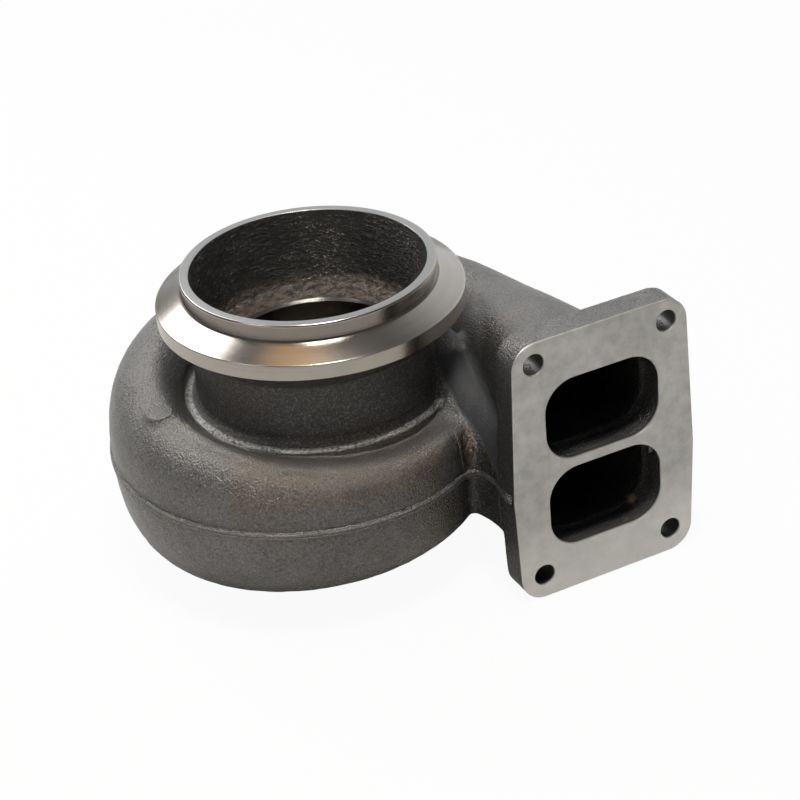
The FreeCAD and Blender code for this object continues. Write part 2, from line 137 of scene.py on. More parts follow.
class Graph:
    """A node tree that is written as expressions."""

    def __init__(self, tree: bpy.types.NodeTree) -> None:
        """Start with an empty tree.

        Args:
            tree: the node tree of a material or a world.
        """
        self.tree = tree
        self.tree.nodes.clear()

    def _find(self, sockets: Sequence, key: Union[int, str]) -> bpy.types.NodeSocket:
        """Socket by its place, identifier or shown name."""
        if isinstance(key, int):
            return sockets[key]
        for socket in sockets:
            if socket.identifier == key:
                return socket
        return next(socket for socket in sockets if socket.name == key and socket.enabled)

    def put(self, socket: bpy.types.NodeSocket, value: object) -> None:
        """Link or set one input socket.

        Args:
            socket: the input.
            value: a Wire to link, a colour, a vector or a number to set.
        """
        if isinstance(value, Wire):
            self.tree.links.new(value.socket, socket)
        elif isinstance(value, (tuple, list)) and len(value) == 3 and socket.type == "RGBA":
            socket.default_value = (*value, 1.0)
        else:
            socket.default_value = value

    def node(self, kind: str, settings: dict, inputs: dict, output: Union[int, str] = 0) -> Wire:
        """Add one node.

        Args:
            kind: type of the node.
            settings: its properties, set first.
            inputs: values or wires of its sockets, by place, identifier or name.
            output: which output to give.

        Returns:
            That output.
        """
        made = self.tree.nodes.new(kind)
        for key, value in settings.items():
            setattr(made, key, value)
        for key, value in inputs.items():
            self.put(self._find(made.inputs, key), value)
        return Wire(self, self._find(made.outputs, output))

    def place(self) -> Wire:
        """Position on the object, in metres."""
        return self.node("ShaderNodeTexCoord", {}, {}, "Object")

    def axes(self) -> tuple[Wire, Wire, Wire]:
        """Position as three values in millimetres."""
        split = self.tree.nodes.new("ShaderNodeSeparateXYZ")
        self.put(split.inputs[0], self.place())
        x, y, z = (Wire(self, socket) * 1000.0 for socket in split.outputs)
        return x, y, z

    def stretched(self, scale: Triple) -> Wire:
        """Position with each axis multiplied."""
        return self.node("ShaderNodeVectorMath", {"operation": "MULTIPLY"}, {0: self.place(), 1: scale})

    def cloud(self, size: float, detail: float = 3.0, rough: float = 0.55, where: Wire = None) -> Wire:
        """Noise between 0 and 1.

        Args:
            size: size of its features in millimetres.
            detail: octaves.
            rough: share of the finer octaves.
            where: position to read it at, the plain position if left out.

        Returns:
            The noise.
        """
        where = where or self.place()
        inputs = {"Vector": where, "Scale": 1000.0 / size, "Detail": detail, "Roughness": rough}
        return self.node("ShaderNodeTexNoise", {"noise_dimensions": "3D"}, inputs)

    def bands(self, along: Wire, scale: float, detail: float) -> Wire:
        """Noise between 0 and 1 that changes with one value only."""
        inputs = {"W": along, "Scale": scale, "Detail": detail}
        return self.node("ShaderNodeTexNoise", {"noise_dimensions": "1D"}, inputs)

    def cells(self, size: float) -> Wire:
        """Distance to the nearest of scattered points, about 0 to 1."""
        inputs = {"Vector": self.place(), "Scale": 1000.0 / size, "Randomness": 1.0}
        return self.node("ShaderNodeTexVoronoi", {"feature": "F1"}, inputs)

    def tint(self, share: Value, first: object, second: object) -> Wire:
        """Colour a share of the way from first to second."""
        inputs = {"Factor_Float": share, "A_Color": first, "B_Color": second}
        return self.node("ShaderNodeMix", {"data_type": "RGBA", "clamp_factor": True}, inputs, "Result_Color")

    def relief(self, height: Wire, strength: float, depth: float) -> Wire:
        """Bumped normal.

        Args:
            height: height, about 0 to 1.
            strength: share of the bump.
            depth: depth of the bump in millimetres.

        Returns:
            The normal.
        """
        inputs = {"Strength": strength, "Distance": depth * MM, "Height": height}
        return self.node("ShaderNodeBump", {}, inputs)


class Coat(Graph):
    """The node tree of one material, with a Principled shader."""

    def __init__(self, name: str) -> None:
        """Start an empty material with its shader and an output.

        Args:
            name: name of the material.
        """
        self.material = bpy.data.materials.new(name)
        self.material.use_nodes = True
        super().__init__(self.material.node_tree)
        self.shader = self.tree.nodes.new("ShaderNodeBsdfPrincipled")
        self.output = self.tree.nodes.new("ShaderNodeOutputMaterial")
        self.tree.links.new(self.shader.outputs[0], self.output.inputs[0])

    def finish(self, **values: object) -> bpy.types.Material:
        """Set the shader's own sockets by name, with underscores for spaces, and give the material."""
        for key, value in values.items():
            self.put(self.shader.inputs[key.replace("_", " ").title().replace("Ior", "IOR")], value)
        return self.material


@dataclass(frozen=True)
class CastIron:
    """Blasted grey iron as it leaves the mould, with brown tints and a rusty tongue; shade is painted into
    its hollows and highlights onto its crown, collar edge and parting line.
    """

    name: str = "cast_iron"
    dark: Colour = (0.055, 0.052, 0.050)
    plain: Colour = (0.180, 0.174, 0.167)
    bright: Colour = (0.42, 0.41, 0.40)
    painted_glint: Colour = (0.78, 0.75, 0.71)
    brown: Colour = (0.185, 0.140, 0.100)
    rust: Colour = (0.230, 0.150, 0.095)
    shaded_web: Colour = (0.080, 0.083, 0.089)
    port_shade: Colour = (0.120, 0.118, 0.120)
    spot: Colour = (0.62, 0.44, 0.30)

    def material(self) -> bpy.types.Material:
        """Build the finish.

        Returns:
            The material.
        """
        g = Coat(self.name)
        x, y, z = g.axes()
        radius = (x * x + y * y) ** 0.5
        patches = g.cloud(26.0, 3.0, 0.6)
        blotches = g.cloud(7.0, 4.0, 0.6)
        grain = g.cloud(1.5, 4.0, 0.68)
        sand = g.cloud(0.95, 2.0, 0.6)
        pits = g.cells(2.6).falling(0.04, 0.26)
        # Zones of the casting, in millimetres: where the colour differs from the plain iron, by real tone or
        # by painted shade and highlights.
        neck = radius.falling(62.2, 64.2) * z.rising(66.0, 70.0) * z.falling(113.0, 116.0)
        collar = radius.between(64.0, 66.8, 0.9) * z.between(69.4, 71.6, 0.9)
        shaded_nook = x.between(38.0, 56.0, 8.0) * y.falling(-22.0, -6.0) * z.falling(94.0, 112.0)
        ramp = (z - 0.6 * y).between(107.0, 116.0, 3.0)
        shaded_web = x.between(45.0, 61.0, 3.0) * y.between(-92.0, -42.0, 5.0) * ramp
        tongue = x.between(37.0, 44.0, 1.5) * y.between(-76.0, -69.0, 2.0) * z.between(46.0, 62.0, 3.0)
        spot = ((x - 117.6) ** 2.0 + (y * 0.5 + 48.5) ** 2.0 + (z - 9.6) ** 2.0) ** 0.5
        port = x.between(64.0, 125.0, 1.0) * y.falling(-80.0, -70.0) * z.between(5.5, 101.5, 1.0)
        line = radius.rising(78.0, 82.0) * z.between(41.6, 43.4, 0.5)
        crown_highlight = radius.between(68.0, 80.0, 4.0) * z.rising(61.0, 68.0) * y.falling(-30.0, 0.0)
        front = y.falling(-62.0, -40.0) * x.between(-60.0, 10.0, 20.0) * z.between(58.0, 74.0, 6.0)
        colour = g.tint(patches.rising(0.30, 0.68), self.dark, self.plain)
        colour = g.tint(0.55 + 0.35 * blotches, colour, self.plain)
        stained = g.cloud(34.0, 2.0, 0.5).rising(0.50, 0.72) * y.falling(-30.0, 10.0)
        colour = g.tint(stained * 0.40, colour, self.brown)
        # brown on the front of the scroll's top: partly the iron's brown scale, partly a painted warm
        # highlight
        colour = g.tint(front * 0.5, colour, self.brown)
        # painted shade: the neck under the outlet rim is darkened
        colour = g.tint(neck * 0.60, colour, self.dark)
        # painted shade in the corner beside the tract, under the outlet rim
        colour = g.tint(shaded_nook * 0.80, colour, self.dark)
        colour = g.tint(tongue * grain.rising(0.40, 0.62) * 0.50, colour, self.rust)
        colour = g.tint(grain.falling(0.36, 0.52) * 0.55, colour, self.dark)
        # painted highlights on the parting line's edge and on the scroll's crown; the sand flecks are the
        # iron's grain
        colour = g.tint(sand.rising(0.50, 0.68) * 0.34 + line * 0.30 + crown_highlight * 0.32, colour, self.bright)
        # painted glint along the upper edge of the neck collar
        colour = g.tint(collar * grain.rising(0.30, 0.60) * 0.90, colour, self.painted_glint)
        colour = g.tint(pits * 0.30, colour, self.dark)
        # painted shade: the web beside the tract is darkened and made bluish
        colour = g.tint(shaded_web * 0.85, colour, self.shaded_web)
        # painted shade inside the inlet ports
        colour = g.tint(port * 0.50, colour, self.port_shade)
        colour = g.tint(spot.falling(0.5, 3.6) * blotches.rising(0.35, 0.50), colour, self.spot)
        fine = grain * 0.9 + sand * 1.6
        height = fine * (1.0 - 0.65 * shaded_web) + blotches * 0.35 + tongue * blotches * 3.5 + collar * grain * 1.2
        rough = 0.26 + 0.08 * patches + 0.06 * grain + neck * 0.14 + shaded_web * 0.42
        return g.finish(
            base_color=colour,
            metallic=0.92,
            roughness=rough,
            specular_ior_level=0.5,
            normal=g.relief(height, 1.0, 0.50),
        )


@dataclass(frozen=True)
class SootedIron:
    """Black burnt iron inside the outlet, rough, with pale flecks that are painted glints and a paler brown
    ledge at its foot.
    """

    name: str = "sooted_iron"
    soot: Colour = (0.028, 0.027, 0.026)
    dark: Colour = (0.070, 0.066, 0.062)
    ledge: Colour = (0.24, 0.20, 0.165)
    fleck: Colour = (0.55, 0.52, 0.48)

    def material(self) -> bpy.types.Material:
        """Build the finish.

        Returns:
            The material.
        """
        g = Coat(self.name)
        x, y, z = g.axes()
        flat = g.stretched((1.0, 1.0, 2.0))
        broad = g.cloud(26.0, 3.0, 0.5)
        crust = g.cloud(4.0, 5.0, 0.68, flat)
        grit = g.cloud(1.5, 3.0, 0.6, flat)
        shelf = z.falling(98.0, 104.0)
        flecks = grit.rising(0.54, 0.64) * crust.rising(0.46, 0.58) * (0.25 + 0.75 * broad.rising(0.40, 0.58))
        colour = g.tint(broad, self.soot, self.dark)
        colour = g.tint(shelf * crust.rising(0.30, 0.62) * 0.85, colour, self.ledge)
        # painted glints: pale flecks in the colour, more of them on the upward ledge
        colour = g.tint(flecks * (0.55 + 0.4 * shelf), colour, self.fleck)
        rough = 0.44 - shelf * 0.12 - flecks * 0.12
        return g.finish(
            base_color=colour,
            metallic=0.80,
            roughness=rough,
            specular_ior_level=0.5,
            normal=g.relief(crust * 1.2 + grit * 0.6, 1.0, 1.6),
        )


@dataclass(frozen=True)
class TurnedSteel:
    """Bright turned surface with fine rings round the axis, with painted shade on the lip, the bores and the
    rim's cone.
    """

    name: str = "turned_rim"
    bright: Colour = (0.44, 0.41, 0.365)
    dull: Colour = (0.29, 0.265, 0.23)
    stain: Colour = (0.28, 0.20, 0.13)
    top: Colour = (0.36, 0.36, 0.36)
    lip: Colour = (0.16, 0.145, 0.13)
    cone_shade: Colour = (0.23, 0.215, 0.195)
    rough: float = 0.13

    def material(self) -> bpy.types.Material:
        """Build the finish.

        Returns:
            The material.
        """
        g = Coat(self.name)
        x, y, z = g.axes()
        radius = (x * x + y * y) ** 0.5
        along = radius * 0.9 + z * 1.1
        rings = g.bands(along, 5.5, 4.0)
        wide = g.bands(along, 0.8, 2.0)
        smear = g.cloud(22.0, 3.0, 0.55)
        specks = g.cloud(1.2, 2.0, 0.5).rising(0.66, 0.76)
        flat_top = z.rising(135.55, 135.75)
        cone_shade = radius.between(63.6, 74.0, 0.6) * z.rising(120.0, 121.0)
        lip = radius.falling(62.6, 63.4) * z.falling(134.2, 134.8)
        colour = g.tint(0.35 * wide + 0.5 * smear, self.bright, self.dull)
        colour = g.tint(smear.rising(0.55, 0.80) * 0.35, colour, self.stain)
        colour = g.tint(specks * 0.35, colour, self.stain)
        colour = g.tint(flat_top * 0.85, colour, self.top)
        # painted shade: the lip's outside and the bores under it are darker than the rest of the turned steel
        colour = g.tint(lip * 0.62, colour, self.lip)
        # painted shade: the rim's cone is darker than the rest of the turned steel, for its dimmer reflection
        colour = g.tint(cone_shade * 0.45, colour, self.cone_shade)
        rough = self.rough + 0.06 * rings + 0.07 * smear + flat_top * 0.16
        return g.finish(
            base_color=colour,
            metallic=1.0,
            roughness=rough,
            normal=g.relief(rings * (0.6 + 0.8 * flat_top) + smear * 0.3, 0.45, 0.06),
        )


@dataclass(frozen=True)
class MilledFace:
    """Milled flange face, pale and matt, with faint sweeps, mottling and a bluish stain; a lighter reflection
    is painted towards its bottom and shade into its holes.
    """

    name: str = "milled_face"
    pale: Colour = (0.58, 0.575, 0.56)
    dull: Colour = (0.36, 0.355, 0.34)
    bore_shade: Colour = (0.085, 0.083, 0.08)
    stain: Colour = (0.34, 0.38, 0.42)
    foot: Colour = (0.86, 0.85, 0.83)
    sweep: float = 190.0

    def material(self) -> bpy.types.Material:
        """Build the finish.

        Returns:
            The material.
        """
        g = Coat(self.name)
        x, y, z = g.axes()
        across = ((x - 60.0) ** 2.0 + (z + self.sweep) ** 2.0) ** 0.5
        marks = g.bands(across, 2.2, 4.0)
        mottle = g.cloud(7.0, 4.0, 0.6)
        smear = g.cloud(30.0, 2.0, 0.5)
        specks = g.cloud(1.1, 2.0, 0.5).rising(0.66, 0.74)
        spot = ((x - 77.0) ** 2.0 + (z + 3.0) ** 2.0) ** 0.5
        clouded = mottle.rising(0.30, 0.75) * 0.55 + smear.rising(0.35, 0.70) * 0.35
        colour = g.tint(clouded, self.pale, self.dull)
        colour = g.tint(spot.falling(2.0, 11.0) * 0.45 * mottle, colour, self.stain)
        colour = g.tint(specks * 0.35, colour, self.dull)
        # painted reflection: the face is lighter towards its bottom
        colour = g.tint(z.falling(-8.0, 40.0) * 0.55, colour, self.foot)
        # painted shade on the walls of the holes behind the face
        colour = g.tint(y.between(-110.4, -90.0, 0.8) * 0.9, colour, self.bore_shade)
        rough = 0.40 + 0.10 * marks + 0.10 * mottle
        return g.finish(
            base_color=colour,
            metallic=0.92,
            roughness=rough,
            normal=g.relief(marks * 0.6 + mottle * 0.6, 0.35, 0.06),
        )


@dataclass(frozen=True)
class Paper:
    """White sweep that the housing lies on. It stays white for the camera and keeps the shadow."""

    name: str = "white_sweep"
    white: Colour = (0.64, 0.64, 0.635)
    fleck: Colour = (0.58, 0.58, 0.58)
    share: float = 0.94

    def material(self) -> bpy.types.Material:
        """Build the finish.

        Returns:
            The material.
        """
        g = Coat(self.name)
        grain = g.cloud(3.0, 2.0, 0.5)
        g.finish(base_color=g.tint(grain * 0.15, self.white, self.fleck), roughness=0.9)
        glow = g.node("ShaderNodeEmission", {}, {"Color": (1.0, 1.0, 1.0), "Strength": 1.0})
        seen = g.node("ShaderNodeLightPath", {}, {}, "Is Camera Ray")
        lit = Wire(g, g.shader.outputs[0])
        g.put(g.output.inputs[0], g.node("ShaderNodeMixShader", {}, {0: seen * self.share, 1: lit, 2: glow}))
        return g.material


def link(name: str, mesh: bpy.types.Mesh) -> bpy.types.Object:
    """Put a mesh into the scene as an object.

    Args:
        name: name of the object.
        mesh: its mesh.

    Returns:
        The object.
    """
    made = bpy.data.objects.new(name, mesh)
    bpy.context.scene.collection.objects.link(made)
    return made


def crease(mesh: bpy.types.Mesh, degrees: float) -> None:
    """Shade smooth, with sharp edges where faces meet at more than an angle.

    Args:
        mesh: the mesh.
        degrees: the angle.
    """
    mesh.polygons.foreach_set("use_smooth", [True] * len(mesh.polygons))
    mesh.set_sharp_from_angle(angle=math.radians(degrees))
    mesh.update()


def moulded(name: str, work: bmesh.types.BMesh, degrees: float) -> bpy.types.Object:
    """Turn a working mesh into an object and free it.

    Args:
        name: name of the object.
        work: the working mesh.
        degrees: angle of its sharp edges.

    Returns:
        The object.
    """
    mesh = bpy.data.meshes.new(name)
    work.to_mesh(mesh)
    work.free()
    crease(mesh, degrees)
    return link(name, mesh)


def listed(name: str, points: list[Triple], faces: list[tuple], degrees: float) -> bpy.types.Object:
    """Make an object of points and faces, with sharp edges from an angle in degrees."""
    mesh = bpy.data.meshes.new(name)
    mesh.from_pydata(points, [], faces)
    crease(mesh, degrees)
    return link(name, mesh)


def swept(centre: Pair, radius: float, start: float, end: float, count: int = 6) -> list[Pair]:
    """Points on an arc.

    Args:
        centre: its centre.
        radius: its radius.
        start: first angle in degrees.
        end: last angle in degrees.
        count: number of steps.

    Returns:
        The points.
    """
    points = []
    for k in range(count + 1):
        angle = math.radians(start + (end - start) * k / count)
        points.append((centre[0] + radius * math.cos(angle), centre[1] + radius * math.sin(angle)))
    return points


def straight(first: Pair, second: Pair, count: int) -> list[Pair]:
    """Points on a straight run, both ends among them."""
    return [(first[0] + (second[0] - first[0]) * k / count, first[1] + (second[1] - first[1]) * k / count)
            for k in range(count + 1)]


def circle(centre: Pair, radius: float, count: int) -> list[Pair]:
    """Points round a circle.

    Args:
        centre: its centre.
        radius: its radius.
        count: how many points.

    Returns:
        The points, anticlockwise.
    """
    turns = [2.0 * math.pi * k / count for k in range(count)]
    return [(centre[0] + radius * math.cos(t), centre[1] + radius * math.sin(t)) for t in turns]


def rounded(corners: Sequence[tuple[float, float, float]], count: int) -> list[Pair]:
    """Points round a polygon with an arc at each corner.

    Args:
        corners: anticlockwise corners as (x, z, radius).
        count: points of each arc.

    Returns:
        The points, anticlockwise.
    """
    points = []
    total = len(corners)
    for k, (x, z, radius) in enumerate(corners):
        here = Vector((x, z))
        before = (Vector(corners[k - 1][:2]) - here).normalized()
        after = (Vector(corners[(k + 1) % total][:2]) - here).normalized()
        half = before.angle(after) / 2.0
        if radius < 0.01 or abs(half - math.pi / 2.0) < 0.001:
            points.append((x, z))
            continue
        centre = here + (before + after).normalized() * radius / math.sin(half)
        start = here + before * radius / math.tan(half) - centre
        end = here + after * radius / math.tan(half) - centre
        sweep = start.angle_signed(end)
        for step in range(count):
            turned = Matrix.Rotation(-sweep * step / (count - 1.0), 2) @ start
            points.append((centre.x + turned.x, centre.y + turned.y))
    return points


def grown(loop: Sequence[Pair], distance: float) -> list[Pair]:
    """A closed anticlockwise loop moved outwards.

    Args:
        loop: its points.
        distance: how far, or less than 0 for inwards.

    Returns:
        The moved points.
    """
    moved = []
    total = len(loop)
    for k, (x, z) in enumerate(loop):
        ahead = Vector(loop[(k + 1) % total]) - Vector(loop[k - 1])
        out = Vector((ahead.y, -ahead.x)).normalized()
        moved.append((x + out.x * distance, z + out.y * distance))
    return moved


class Assembly:
    """A sub-assembly of the casting: its pieces ride on the one body and stand for the one solid."""

    def dress(self, piece: bpy.types.Object, material: bpy.types.Material) -> None:
        """Give a piece its material and its body, and hide the solid that it stands for.

        Args:
            piece: the piece.
            material: its material.
        """
        piece.data.materials.clear()
        piece.data.materials.append(material)
        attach(piece, BODY)
        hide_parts(HOUSING)
        LOG.info("%s: %d faces", piece.name, len(piece.data.polygons))


@dataclass
class TurnedRing:
    """A closed ring turned about the axis from a section of (radius, height) points."""

    name: str
    section: list[Pair]
    steps: int = 256
    sharp: float = 18.0

    def build(self) -> bpy.types.Object:
        """Turn the section.

        Returns:
            The ring.
        """
        area = 0.0
        for (r0, z0), (r1, z1) in zip(self.section, self.section[1:] + self.section[:1]):
            area += r0 * z1 - r1 * z0
        section = self.section if area > 0.0 else self.section[::-1]
        count = len(section)
        points = []
        for k in range(self.steps):
            angle = 2.0 * math.pi * k / self.steps
            for r, z in section:
                points.append((r * math.cos(angle) * MM, r * math.sin(angle) * MM, z * MM))
        faces = []
        for k in range(self.steps):
            this = k * count
            following = ((k + 1) % self.steps) * count
            for j in range(count):
                following_j = (j + 1) % count
                faces.append((this + j, following + j, following + following_j, this + following_j))
        return listed(self.name, points, faces, self.sharp)


@dataclass
class Opening:
    """A hole through a plate: its loop, the width of its broken edge and its depth."""

    loop: list[Pair]
    edge: float
    depth: float


@dataclass
class PiercedPlate:
    """A flat machined face with a broken edge and holes, lying on the casting."""

    name: str
    outline: list[Pair]
    openings: list[Opening]
    facing: Facing
    level: float
    edge: float = 0.35
    thick: float = 1.3

    def spot(self, point: Pair, depth: float) -> Triple:
        """Point of the plate in metres, a depth behind its front."""
        if self.facing is Facing.INLET:
            return (point[0] * MM, (self.level + depth) * MM, point[1] * MM)
        return (point[0] * MM, -point[1] * MM, (self.level + depth) * MM)

    def build(self) -> bpy.types.Object:
        """Fill the front between its loops and add the walls.

        Returns:
            The plate.
        """
        work = bmesh.new()
        rims = []
        walls = [(grown(self.outline, -self.edge), self.outline, self.thick, self.edge)]
        for hole in self.openings:
            walls.append((grown(hole.loop, hole.edge), hole.loop, hole.depth, hole.edge))
        for front, full, depth, edge in walls:
            rings = [(front, 0.0), (full, edge), (full, depth)]
            made = [[work.verts.new(self.spot(p, d)) for p in loop] for loop, d in rings]
            for k in range(len(front)):
                rims.append(work.edges.new((made[0][k - 1], made[0][k])))
            for first, second in zip(made, made[1:]):
                for k in range(len(front)):
                    work.faces.new((first[k - 1], first[k], second[k], second[k - 1]))
        bmesh.ops.triangle_fill(work, use_beauty=True, use_dissolve=False, edges=rims)
        bmesh.ops.recalc_face_normals(work, faces=work.faces)
        front = max(work.faces, key=lambda face: face.calc_area())
        toward = Vector((0.0, -1.0, 0.0)) if self.facing is Facing.INLET else Vector((0.0, 0.0, -1.0))
        if front.normal.dot(toward) < 0.0:
            bmesh.ops.reverse_faces(work, faces=work.faces)
        return moulded(self.name, work, 25.0)


@dataclass
class CastingSkin(Assembly):
    """The as-cast surface of the housing, with rounded corners and filled hollows like sand leaves."""

    solid: bpy.types.Object
    voxel: float = 1.35
    fill_passes: int = 26
    soften_passes: int = 2
    inset: float = 0.45
    deep: float = 4.0
    flange_face: float = -111.8
    plate_back: float = -95.8
    rim_foot: float = 106.0
    rim_out: float = 75.0
    duct_foot: float = 91.0
    duct_radius: float = 58.6
    parting: float = 42.0
    ridge: float = 1.15
    lumps: float = 0.16
    hidden_share: float = 0.18
    most_triangles: float = 192000.0
    studs_x: Pair = (58.7, 130.1)
    studs_z: Pair = (-4.05, 112.45)
    stud_reach: float = 7.0
    plate_thick: float = 16.0
    seat_reach: float = 71.0
    pilot_reach: Pair = (58.5, 31.5)
    name: str = "housing_casting"

    def copy_mesh(self) -> bpy.types.Mesh:
        """Closed copy of the solid, remeshed into even faces.

        Returns:
            The mesh.
        """
        mesh = self.solid.data.copy()
        work = bmesh.new()
        work.from_mesh(mesh)
        bmesh.ops.remove_doubles(work, verts=work.verts, dist=1e-6)
        work.to_mesh(mesh)
        work.free()
        piece = link("casting_rough", mesh)
        remesh = piece.modifiers.new("even", "REMESH")
        remesh.mode = "VOXEL"
        remesh.voxel_size = self.voxel * MM
        remesh.adaptivity = 0.0
        depsgraph = bpy.context.evaluated_depsgraph_get()
        even = bpy.data.meshes.new_from_object(piece.evaluated_get(depsgraph))
        bpy.data.objects.remove(piece)
        return even

    @staticmethod
    def edges_of(mesh: bpy.types.Mesh) -> np.ndarray:
        """Pairs of vertex numbers of the edges."""
        pairs = np.empty(len(mesh.edges) * 2, dtype=np.int64)
        mesh.edges.foreach_get("vertices", pairs)
        return pairs.reshape(-1, 2)

    @staticmethod
    def smoothed(points: np.ndarray, pairs: np.ndarray, passes: int) -> np.ndarray:
        """Points moved towards the mean of their neighbours a number of times.

        Args:
            points: n x 3 positions.
            pairs: edges.
            passes: how often.

        Returns:
            The moved positions.
        """
        count = len(points)
        ends = np.concatenate([pairs[:, 0], pairs[:, 1]])
        others = np.concatenate([pairs[:, 1], pairs[:, 0]])
        degree = np.maximum(np.bincount(ends, minlength=count), 1)
        moved = points.copy()
        for _ in range(passes):
            mean = np.stack([np.bincount(ends, moved[others, k], count) / degree for k in range(3)], axis=1)
            moved = moved + 0.6 * (mean - moved)
        return moved

    @staticmethod
    def read(mesh: bpy.types.Mesh) -> tuple[np.ndarray, np.ndarray]:
        """Positions and normals of the vertices."""
        points = np.empty(len(mesh.vertices) * 3)
        mesh.vertices.foreach_get("co", points)
        normals = np.empty(len(mesh.vertices) * 3)
        mesh.vertex_normals.foreach_get("vector", normals)
        return points.reshape(-1, 3), normals.reshape(-1, 3)

    def covered(self, points: np.ndarray) -> np.ndarray:
        """Share, 0 to 1, by which each point lies behind a machined piece.

        Args:
            points: positions in millimetres.

        Returns:
            The shares.
        """
        x, y, z = points.T
        radius = np.hypot(x, y)
        face = y < self.plate_back + 0.6
        studs = np.zeros(len(points), dtype=bool)
        for centre_x in self.studs_x:
            for centre_z in self.studs_z:
                near = np.hypot(x - centre_x, z - centre_z) < self.stud_reach
                studs |= near & (y < self.flange_face + self.plate_thick)
        rim = (z > self.rim_foot - 2.0) & (radius < self.rim_out + 2.0)
        duct = (z > self.duct_foot) & (radius < self.duct_radius)
        seat = (z < 1.0) & (radius < self.seat_reach)
        pilot = (z < self.pilot_reach[1]) & (radius < self.pilot_reach[0])
        wheel = (radius < 54.3) & (z > 51.5) & (z < 92.5)
        collar = (radius > 58.0) & (radius < 67.4) & (z > 60.0) & (z < 76.0)
        share = (studs | duct | seat | pilot | wheel).astype(float)
        share = np.maximum(share, (face | collar) * 1.8)
        share = np.maximum(share, rim * self.deep)
        near = np.clip(1.6 - np.abs(z - self.parting) / 2.4, 0.0, 1.0)
        outside = (radius > 80.0) & (y > self.plate_back + 2.0)
        return np.maximum(share, near * outside * self.ridge / self.inset)

    def fill_share(self, points: np.ndarray) -> np.ndarray:
        """Share of the hollow filling at each point: none in turned hollows and behind machined pieces."""
        x, y, z = points.T
        radius = np.hypot(x, y)
        turned = (radius < 58.5) | ((z > 100.0) & (radius < 80.0)) | (y < self.flange_face + 4.0)
        groove = np.clip((x - 22.0) / 12.0, 0.0, 1.0) * np.clip((20.0 - y) / 12.0, 0.0, 1.0)
        return np.where(turned, 0.0, 0.12 + 0.88 * groove)

    def hidden(self, mesh: bpy.types.Mesh, points: np.ndarray, normals: np.ndarray) -> np.ndarray:
        """Which vertices no straight line reaches from outside.

        Args:
            mesh: the mesh.
            points: its positions in metres.
            normals: its normals.

        Returns:
            A mask.
        """
        tree = BVHTree.FromPolygons([tuple(p) for p in points], [tuple(f.vertices) for f in mesh.polygons])
        reach = 2.0 * MM
        hidden = np.zeros(len(points), dtype=bool)
        tilts = [Vector(tilt) for tilt in (
            (0, 0, 0), (0, 0, 1.2), (0, 0, -1.2), (0.9, -0.9, 0), (-0.9, -0.9, 0.3), (0, 1.4, 0))]
        for index in range(len(points)):
            normal = Vector(normals[index])
            start = Vector(points[index]) + normal * reach
            for tilt in tilts:
                if tree.ray_cast(start, (normal + tilt).normalized())[0] is None:
                    break
            else:
                hidden[index] = True
        return hidden

    def build(self) -> bpy.types.Object:
        """Make the casting.

        Returns:
            The casting.
        """
        mesh = self.copy_mesh()
        pairs = self.edges_of(mesh)
        points, normals = self.read(mesh)
        softened = self.smoothed(points, pairs, self.soften_passes)
        filled = self.smoothed(softened, pairs, self.fill_passes)
        out = np.maximum(0.0, np.sum((filled - softened) * normals, axis=1))
        out *= self.fill_share(softened / MM)
        out = np.minimum(out, 3.0 * MM)
        moved = softened + normals * out[:, None]
        moved = self.smoothed(moved, pairs, 1)
        moved -= normals * (self.covered(moved / MM) * self.inset * MM)[:, None]
        bumps = np.array([noise.fractal(Vector(p) * 140.0, 1.0, 2.0, 4) for p in moved])
        free = 1.0 - np.minimum(1.0, self.covered(moved / MM))
        moved += normals * (bumps * free * self.lumps * MM - 0.10 * MM)[:, None]
        mesh.vertices.foreach_set("co", moved.ravel())
        mesh.update()
        hidden = self.hidden(mesh, moved, normals)
        piece = link(self.name, mesh)
        group = piece.vertex_groups.new(name="passages")
        group.add([int(i) for i in np.nonzero(hidden)[0]], 1.0, "REPLACE")
        self.thin(piece, self.ratio(hidden), group.name)
        triangles = sum(len(face.vertices) - 2 for face in piece.data.polygons)
        self.thin(piece, min(1.0, self.most_triangles / triangles))
        piece.data.name = self.name
        piece.data.polygons.foreach_set("use_smooth", [True] * len(piece.data.polygons))
        return piece

    @staticmethod
    def thin(piece: bpy.types.Object, ratio: float, group: str = "") -> None:
        """Collapse faces of a piece, all over or within a vertex group.

        Args:
            piece: the piece.
            ratio: share of its faces to keep.
            group: name of the group, left out for all over.
        """
        modifier = piece.modifiers.new("thin", "DECIMATE")
        modifier.ratio = ratio
        modifier.vertex_group = group
        depsgraph = bpy.context.evaluated_depsgraph_get()
        final = bpy.data.meshes.new_from_object(piece.evaluated_get(depsgraph))
        piece.modifiers.clear()
        piece.vertex_groups.clear()
        piece.data = final

    def ratio(self, hidden: np.ndarray) -> float:
        """Share of the faces to keep, so that only the hidden ones get fewer."""
        share = float(np.mean(hidden))
        return 1.0 - share * (1.0 - self.hidden_share)


